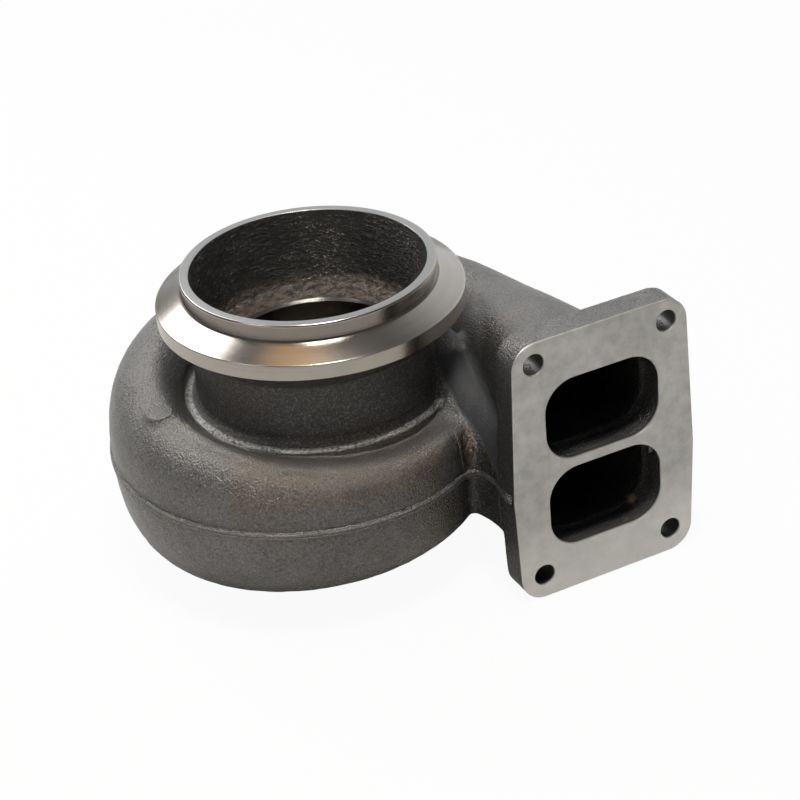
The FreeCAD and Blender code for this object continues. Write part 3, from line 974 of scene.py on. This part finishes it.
@dataclass
class PartingLine(Assembly):
    """The double line that the two halves of the mould leave round the scroll."""

    solid: bpy.types.Object
    height: float = 42.0
    front: float = -110.4
    section: list[Pair] = field(default_factory=lambda: [
        (-3.2, -2.2), (-1.5, -1.75), (-0.45, -1.45), (-0.05, -1.0), (-0.12, -0.45), (-0.55, -0.05),
        (-0.22, 0.35), (-0.05, 0.75), (-0.35, 1.35), (-0.95, 2.0), (-1.7, 2.6), (-3.2, 3.0)])
    name: str = "parting_line"

    def loop(self) -> list[Vector]:
        """Longest closed cut of the solid at the parting height.

        Returns:
            Its points in order, in metres.
        """
        work = bmesh.new()
        work.from_mesh(self.solid.data)
        bmesh.ops.remove_doubles(work, verts=work.verts, dist=1e-6)
        cut = bmesh.ops.bisect_plane(
            work, geom=work.verts[:] + work.edges[:] + work.faces[:], dist=1e-7,
            plane_co=(0.0, 0.0, self.height * MM), plane_no=(0.0, 0.0, 1.0),
            clear_outer=True, clear_inner=True)
        left = {edge for edge in work.edges if edge.is_valid}
        best: list[Vector] = []
        best_run = 0.0
        while left:
            edge = left.pop()
            chain = [edge.verts[0], edge.verts[1]]
            while True:
                following = next((e for e in chain[-1].link_edges if e in left), None)
                if following is None:
                    break
                left.discard(following)
                chain.append(following.other_vert(chain[-1]))
            points = [v.co.copy() for v in chain]
            run = sum((b - a).length for a, b in zip(points, points[1:]))
            if run > best_run:
                best, best_run = points, run
        work.free()
        return best

    def build(self) -> bpy.types.Object:
        """Sweep the section along the cut, apart from the milled face.

        Returns:
            The line.
        """
        points = self.loop()
        if (points[0] - points[-1]).length < 1e-5:
            points = points[:-1]
        area = sum(a.x * b.y - b.x * a.y for a, b in zip(points, points[1:] + points[:1]))
        if area < 0.0:
            points.reverse()
        start = next(k for k in range(len(points))
                     if points[k].y > self.front * MM and points[k - 1].y <= self.front * MM)
        points = points[start:] + points[:start]
        points = [p for p in points if p.y > self.front * MM]
        even = [points[0]]
        for point in points[1:]:
            if (point - even[-1]).length > 0.6 * MM:
                even.append(point)
        rows = []
        for k, point in enumerate(even):
            ahead = even[min(k + 1, len(even) - 1)] - even[max(k - 1, 0)]
            out = Vector((ahead.y, -ahead.x, 0.0)).normalized()
            wave = min(0.03, noise.fractal(point * 220.0, 1.0, 2.0, 3) * 0.16)
            rows.append([point + out * (r + wave) * MM + Vector((0.0, 0.0, h * MM)) for r, h in self.section])
        work = bmesh.new()
        made = [[work.verts.new(p) for p in row] for row in rows]
        count = len(self.section)
        for first, second in zip(made, made[1:]):
            for j in range(count):
                after = (j + 1) % count
                work.faces.new((first[j], second[j], second[after], first[after]))
        work.faces.new(made[0])
        work.faces.new(made[-1][::-1])
        bmesh.ops.recalc_face_normals(work, faces=work.faces)
        return moulded(self.name, work, 50.0)


@dataclass
class OutletEnd(Assembly):
    """Turned V-band rim and pilot lip of the outlet."""

    lip_bore: float = 57.3
    lip_out: float = 62.2
    lip_top: float = 135.8
    cone_foot: Pair = (63.8, 126.5)
    rim_out: float = 75.0
    rim_top: float = 122.0
    rim_back: float = 113.8
    lip_edge: float = 1.0
    rim_edge: float = 0.6
    neck: float = 60.0
    neck_top: float = 106.0

    def section(self) -> list[Pair]:
        """Closed section with small broken edges.

        Returns:
            Points as (radius, height).
        """
        edge, corner = self.lip_edge, self.rim_edge
        return [
            (self.lip_bore, self.lip_top - 0.9), (self.lip_bore + 0.1, self.lip_top - 0.25),
            (self.lip_bore + 0.35, self.lip_top),
            *swept((self.lip_out - edge, self.lip_top - edge), edge, 90.0, 0.0),
            (self.lip_out, self.cone_foot[1] + 1.6),
            (self.lip_out + 0.45, self.cone_foot[1] + 0.55), self.cone_foot,
            *swept((self.rim_out - corner, self.rim_top - corner), corner, 64.0, 0.0),
            (self.rim_out, self.rim_back + 0.5), (self.rim_out - 0.5, self.rim_back),
            (self.neck + 6.0, self.neck_top), (self.neck + 1.6, self.neck_top - 3.0),
            (self.neck - 1.2, self.neck_top - 3.4), (self.neck - 1.0, self.lip_top - 6.0),
        ]

    def build(self) -> bpy.types.Object:
        """Turn the rim."""
        return TurnedRing("outlet_rim", self.section()).build()


@dataclass
class OutletDuct(Assembly):
    """Rough cast wall inside the outlet, with the ledge round the turbine bore."""

    top: Pair = (57.3, 135.5)
    foot: Pair = (54.0, 97.0)
    edge: Pair = (46.3, 91.9)
    wall: float = 1.0
    rows: int = 46
    ledge_rows: int = 9
    lumps: float = 0.42

    def build(self) -> bpy.types.Object:
        """Turn the wall and roughen it.

        Returns:
            The duct.
        """
        inner = straight(self.top, self.foot, self.rows)
        ledge = straight(self.foot, self.edge, self.ledge_rows)[1:]
        back = [(self.edge[0] + 0.6, self.edge[1] - self.wall),
                (self.foot[0] + 1.2, self.foot[1] - self.wall),
                (self.top[0] + self.wall, self.top[1])]
        piece = TurnedRing("outlet_duct", inner + ledge + back, 320, 70.0).build()
        for vertex in piece.data.vertices:
            x, y, z = vertex.co / MM
            radius = math.hypot(x, y)
            if radius > self.top[0] + 0.5 or z < self.edge[1] - 0.1 or z > self.top[1] - 0.8:
                continue
            near_edge = min(1.0, max(0.0, (radius - self.edge[0]) / 2.0))
            lump = noise.fractal(vertex.co * 330.0, 1.0, 2.0, 4) * self.lumps * near_edge
            lump += noise.fractal(vertex.co * 90.0, 1.0, 2.0, 2) * self.lumps * near_edge
            vertex.co -= Vector((x, y, 0.0)).normalized() * lump * 0.6 * MM
            vertex.co.z += max(0.0, 0.8 * lump) * MM if z < self.foot[1] + 3.0 else 0.0
        return piece


@dataclass
class NeckCollar(Assembly):
    """Cast collar at the foot of the neck, with its crisp upper edge."""

    radius: float = 66.0
    top: float = 70.8
    foot: float = 56.0
    fillet: float = 3.4
    edge: float = 1.3
    neck_foot: float = 61.2
    lumps: float = 0.24

    def build(self) -> bpy.types.Object:
        """Turn the collar.

        Returns:
            The collar.
        """
        inside = self.neck_foot - 3.0
        hollow = (self.neck_foot + self.fillet - 0.1, self.top + self.fillet)
        section = [
            (inside, self.foot), (self.radius, self.foot),
            *swept((self.radius - self.edge, self.top - self.edge), self.edge, 0.0, 90.0, 4),
            *swept(hollow, self.fillet, -90.0, -180.0, 4),
            (inside, self.top + self.fillet),
        ]
        piece = TurnedRing("neck_collar", section, 640, 60.0).build()
        for vertex in piece.data.vertices:
            coarse = noise.fractal(vertex.co * 260.0, 1.0, 2.0, 3)
            lump = (coarse + noise.noise(vertex.co * 700.0)) * self.lumps * MM
            flat = Vector((vertex.co.x, vertex.co.y, 0.0)).normalized()
            vertex.co += flat * lump + Vector((0.0, 0.0, 0.6 * lump))
        return piece


@dataclass
class ShoulderPad(Assembly):
    """Round cast pad on the shoulder of the scroll."""

    centre: Pair = (-84.8, -1.0)
    radius: float = 6.75
    top: float = 81.95
    foot: float = 75.0
    steps: int = 72

    def build(self) -> bpy.types.Object:
        """Make the pad.

        Returns:
            The pad.
        """
        rows = [(share, self.top - drop) for share, drop in (
            (0.30, 0.25), (0.60, 0.15), (0.86, 0.05), (0.95, 0.15), (0.99, 0.45), (1.0, 1.0))]
        rows.append((1.0, self.foot))
        points = [(self.centre[0] * MM, self.centre[1] * MM, (self.top - 0.3) * MM)]
        for share, height in rows:
            for k in range(self.steps):
                angle = 2.0 * math.pi * k / self.steps
                wave = noise.fractal(Vector((math.cos(angle), math.sin(angle), share)) * 2.4, 1.0, 2.0, 4)
                reach = self.radius * share - 0.30 * abs(wave) * share
                points.append(((self.centre[0] + reach * math.cos(angle)) * MM,
                               (self.centre[1] + reach * math.sin(angle)) * MM,
                               (height - 0.15 * abs(wave)) * MM))
        faces = [(0, 1 + k, 1 + (k + 1) % self.steps) for k in range(self.steps)]
        for row in range(len(rows) - 1):
            this, after = 1 + row * self.steps, 1 + (row + 1) * self.steps
            for k in range(self.steps):
                beside = (k + 1) % self.steps
                faces.append((this + k, after + k, after + beside, this + beside))
        faces.append(tuple(1 + (len(rows) - 1) * self.steps + k for k in reversed(range(self.steps))))
        return listed("shoulder_pad", points, faces, 70.0)


@dataclass
class TurbineBores(Assembly):
    """Turned hollows on the axis: the pilot for the bearing housing and the turbine bore."""

    pilot: float = 57.5
    pilot_depth: float = 8.0
    shield: float = 54.5
    shield_top: float = 31.0
    wheel: float = 53.0
    wheel_foot: float = 52.0
    bore: float = 45.0
    shroud_top: float = 72.0
    bore_top: float = 91.8
    edge: float = 1.4
    wall: float = 2.4

    def build(self) -> list[bpy.types.Object]:
        """Turn both.

        Returns:
            The pilot ring and the bore ring.
        """
        low = [(self.pilot, 0.2), (self.pilot, self.pilot_depth), (self.shield, self.pilot_depth),
               (self.shield, self.shield_top), (self.shield + 1.0, self.shield_top),
               (self.shield + 1.0, self.pilot_depth + 1.0), (self.pilot + 1.0, self.pilot_depth + 1.0),
               (self.pilot + 1.0, 0.2)]
        rise = self.shroud_top - self.wheel_foot
        step = self.wheel - self.bore
        reach = (rise * rise + step * step) / (2.0 * step)
        high = []
        for k in range(9):
            z = self.wheel_foot + rise * k / 8.0
            high.append((self.bore + reach - math.sqrt(reach * reach - (self.shroud_top - z) ** 2), z))
        high += [(self.bore, self.bore_top - self.edge), (self.bore + self.edge, self.bore_top),
                 (self.bore + self.wall, self.bore_top), (self.bore + self.wall, self.shroud_top),
                 (self.wheel + self.edge, self.wheel_foot)]
        return [TurnedRing("bearing_pilot", low).build(), TurnedRing("turbine_bore", high).build()]

    def dress(self, pieces: list[bpy.types.Object], material: bpy.types.Material) -> None:
        """Finish both."""
        for piece in pieces:
            super().dress(piece, material)


@dataclass
class InletFace(Assembly):
    """Milled face of the inlet flange with its two ports and four stud holes."""

    centre_x: float = 94.4
    width: float = 99.6
    top: float = 123.6
    bottom: float = -16.8
    parting: float = 42.0
    corner: float = 13.0
    draft: float = 2.2
    level: float = -111.8
    thick: float = 16.0
    spacing: Pair = (71.4, 116.5)
    stud_centre: float = 54.2
    stud_radius: float = 5.5
    port_width: float = 61.6
    port_tall: float = 43.2
    port_corner: float = 16.0
    divider: float = 5.2
    port_centre: float = 53.4
    stud_edge: float = 0.3
    port_edge: float = 0.4
    port_lip: float = 2.4
    face_edge: float = 0.35
    face_thick: float = 0.9

    def outline(self) -> list[Pair]:
        """Edge of the flange, which narrows up and down from the parting height."""
        slope = math.tan(math.radians(self.draft))
        half = 0.5 * self.width
        high = half - slope * (self.top - self.parting)
        low = half - slope * (self.parting - self.bottom)
        x, c = self.centre_x, self.corner
        return rounded([(x - low, self.bottom, c), (x + low, self.bottom, c), (x + half, self.parting, 0.0),
                        (x + high, self.top, c), (x - high, self.top, c), (x - half, self.parting, 0.0)], 16)

    def build(self) -> bpy.types.Object:
        """Make the face.

        Returns:
            The face.
        """
        x = self.centre_x
        openings = []
        for side in (-0.5, 0.5):
            for up in (-0.5, 0.5):
                centre = (x + side * self.spacing[0], self.stud_centre + up * self.spacing[1])
                hole = circle(centre, self.stud_radius, 48)
                openings.append(Opening(hole, self.stud_edge, self.thick - 0.05))
        for sign in (-1.0, 1.0):
            middle = self.port_centre + sign * 0.5 * (self.divider + self.port_tall)
            openings.append(Opening(self.port(x, middle), self.port_edge, self.port_lip))
        face = PiercedPlate("inlet_face", self.outline(), openings, Facing.INLET, self.level,
                            self.face_edge, self.face_thick)
        return face.build()

    def port(self, x: float, z: float) -> list[Pair]:
        """Loop of one port."""
        half, tall, c = 0.5 * self.port_width, 0.5 * self.port_tall, self.port_corner
        return rounded([(x - half, z - tall, c), (x + half, z - tall, c), (x + half, z + tall, c),
                        (x - half, z + tall, c)], 16)


@dataclass
class FlangeEdge(Assembly):
    """Rough cast edge round the inlet flange, between the milled face and the back of the plate."""

    face: InletFace
    step: float = 1.6
    back_width: float = 4.0
    lumps: float = 0.14

    def dense(self, loop: list[Pair]) -> list[Pair]:
        """The loop with points added, so that no side is longer than the step."""
        made = []
        for first, second in zip(loop, loop[1:] + loop[:1]):
            count = max(1, math.ceil(math.dist(first, second) / self.step))
            made += straight(first, second, count)[:-1]
        return made

    def build(self) -> bpy.types.Object:
        """Wrap the edge.

        Returns:
            The edge.
        """
        loop = self.dense(self.face.outline())
        thick = self.face.thick
        rows = [(0.9 + (thick - 2.1) * k / 9.0, 0.0) for k in range(10)]
        rows += [(thick - 0.75, -0.15), (thick - 0.3, -0.55), (thick - 0.05, -1.2),
                 (thick - 0.02, -self.back_width)]
        work = bmesh.new()
        made = []
        for depth, inward in rows:
            ring = []
            for (x, z), (nearer_x, nearer_z) in zip(loop, grown(loop, -1.0)):
                out = Vector((x - nearer_x, 0.0, z - nearer_z))
                point = Vector((x, self.face.level + depth, z)) + out * inward
                lump = noise.fractal(point * 0.30, 1.0, 2.0, 4) * self.lumps - 0.10
                fade = min(1.0, max(0.0, depth - 0.9) / 1.5)
                ring.append(work.verts.new((point + out * min(lump, 0.0) * fade) * MM))
            made.append(ring)
        for first, second in zip(made, made[1:]):
            for k in range(len(loop)):
                work.faces.new((first[k - 1], first[k], second[k], second[k - 1]))
        bmesh.ops.recalc_face_normals(work, faces=work.faces)
        piece = moulded("flange_edge", work, 60.0)
        middle = Vector((self.face.centre_x, 0.0, self.face.port_centre)) * MM
        side = piece.data.polygons[0]
        if side.normal.dot(side.center - middle) < 0.0:
            piece.data.flip_normals()
        return piece


@dataclass
class SeatFace(Assembly):
    """Turned seat for the bearing housing, with its ring of threaded holes."""

    radius: float = 70.0
    pilot: float = 57.5
    bolt_circle: float = 127.0
    count: int = 8
    thread: float = 4.0
    depth: float = 10.9

    def build(self) -> bpy.types.Object:
        """Make the face.

        Returns:
            The face.
        """
        openings = [Opening(circle((0.0, 0.0), self.pilot, 192), 0.5, 1.6)]
        for k in range(self.count):
            turn = 2.0 * math.pi * (k + 0.5) / self.count
            centre = (0.5 * self.bolt_circle * math.cos(turn), 0.5 * self.bolt_circle * math.sin(turn))
            openings.append(Opening(circle(centre, self.thread, 32), 0.6, self.depth))
        outline = circle((0.0, 0.0), self.radius, 192)
        return PiercedPlate("seat_face", outline, openings, Facing.SEAT, 0.0).build()


@dataclass
class Lamp:
    """A soft rectangular lamp aimed at the housing."""

    name: str
    place: Triple
    size: Pair
    watts: float
    colour: Colour = (1.0, 1.0, 1.0)
    target: Triple = (0.02, -0.02, 0.06)

    def build(self) -> bpy.types.Object:
        """Hang the lamp.

        Returns:
            The lamp.
        """
        light = bpy.data.lights.new(self.name, "AREA")
        light.shape = "RECTANGLE"
        light.size, light.size_y = self.size
        light.energy = self.watts
        light.color = self.colour
        made = bpy.data.objects.new(self.name, light)
        bpy.context.scene.collection.objects.link(made)
        made.location = self.place
        away = Vector(self.place) - Vector(self.target)
        made.rotation_euler = away.to_track_quat("Z", "Y").to_euler()
        return made


@dataclass
class Studio:
    """Floor, lamps, world and camera."""

    floor_level: float = -16.85
    eye: Triple = (-0.364602, -0.886203, 0.622931)
    right: Triple = (0.88560708, -0.45770753, -0.07876497)
    up: Triple = (0.29509126, 0.42358274, 0.85644545)
    back: Triple = (-0.35863805, -0.78171701, 0.51019336)
    lens: float = 100.881
    sensor: float = 36.0
    dim: float = 0.16
    glow: float = 1.25
    warm: Triple = (-0.06, 0.17, 0.98)
    cool: Colour = (0.95, 0.97, 1.0)
    bulb: Colour = (1.0, 0.66, 0.38)
    lamps: list[Lamp] = field(default_factory=lambda: [
        Lamp("key_back", (-0.36, 1.03, 1.04), (0.80, 0.85), 13.0),
        Lamp("top", (-0.04, -0.35, 1.52), (0.40, 0.30), 17.0, (1.0, 0.96, 0.90)),
        Lamp("left", (-1.30, -0.30, 1.10), (0.60, 0.70), 4.0),
    ])

    def build(self) -> None:
        """Set the stage."""
        bpy.ops.mesh.primitive_grid_add(x_subdivisions=8, y_subdivisions=8, size=12.0)
        floor = bpy.context.object
        floor.name = "floor"
        floor.location = (0.0, 0.0, self.floor_level * MM)
        floor.data.materials.append(Paper().material())
        for lamp in self.lamps:
            lamp.build()
        self.world()
        self.camera()

    def world(self) -> None:
        """Surroundings: a pale wall behind on the right, a warm bulb overhead, white for the camera."""
        world = bpy.data.worlds.new("studio")
        bpy.context.scene.world = world
        world.use_nodes = True
        g = Graph(world.node_tree)
        toward = g.node("ShaderNodeTexCoord", {}, {}, "Generated")
        split = g.tree.nodes.new("ShaderNodeSeparateXYZ")
        g.put(split.inputs[0], toward)
        x, y, z = (Wire(g, socket) for socket in split.outputs)
        behind = (0.8 * x + 0.6 * y).rising(0.35, 1.0) * y.rising(-0.05, 0.25)
        strength = self.dim + behind * (self.glow - self.dim)
        spot = (x * self.warm[0] + y * self.warm[1] + z * self.warm[2]).rising(0.965, 0.992)
        tone = g.tint(spot, self.cool, self.bulb)
        soft = g.node("ShaderNodeBackground", {}, {"Color": tone, "Strength": strength + spot * 1.1})
        white = g.node("ShaderNodeBackground", {}, {"Color": (1.0, 1.0, 1.0), "Strength": 1.0})
        seen = g.node("ShaderNodeLightPath", {}, {}, "Is Camera Ray")
        mixed = g.node("ShaderNodeMixShader", {}, {0: seen, 1: soft, 2: white})
        output = g.tree.nodes.new("ShaderNodeOutputWorld")
        g.put(output.inputs[0], mixed)

    def camera(self) -> None:
        """Stand the camera where the photograph was taken."""
        data = bpy.data.cameras.new("camera")
        data.sensor_width = self.sensor
        data.lens = self.lens
        data.clip_start = 0.01
        made = bpy.data.objects.new("camera", data)
        bpy.context.scene.collection.objects.link(made)
        turn = Matrix((self.right, self.up, self.back)).transposed().to_4x4()
        made.matrix_world = Matrix.Translation(self.eye) @ turn
        bpy.context.scene.camera = made


def main(frame: dict) -> None:
    """Build the housing and its stage in order.

    Args:
        frame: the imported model.
    """
    logging.basicConfig(level=logging.INFO, format="%(message)s")
    bpy.context.scene.view_settings.view_transform = "Standard"
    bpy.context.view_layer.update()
    solid = frame["nodes"][HOUSING]
    iron = CastIron().material()
    soot = SootedIron().material()
    steel = TurnedSteel().material()
    milled = MilledFace().material()
    inlet = InletFace()
    for assembly, coat in (
        (CastingSkin(solid), iron), (PartingLine(solid), iron), (NeckCollar(), iron), (ShoulderPad(), iron),
        (OutletEnd(), steel), (OutletDuct(), soot), (TurbineBores(), steel), (inlet, milled),
        (FlangeEdge(inlet), iron), (SeatFace(), milled),
    ):
        assembly.dress(assembly.build(), coat)
    Studio().build()
    bpy.context.view_layer.update()


if __name__ == "__main__":
    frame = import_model()
    main(frame)
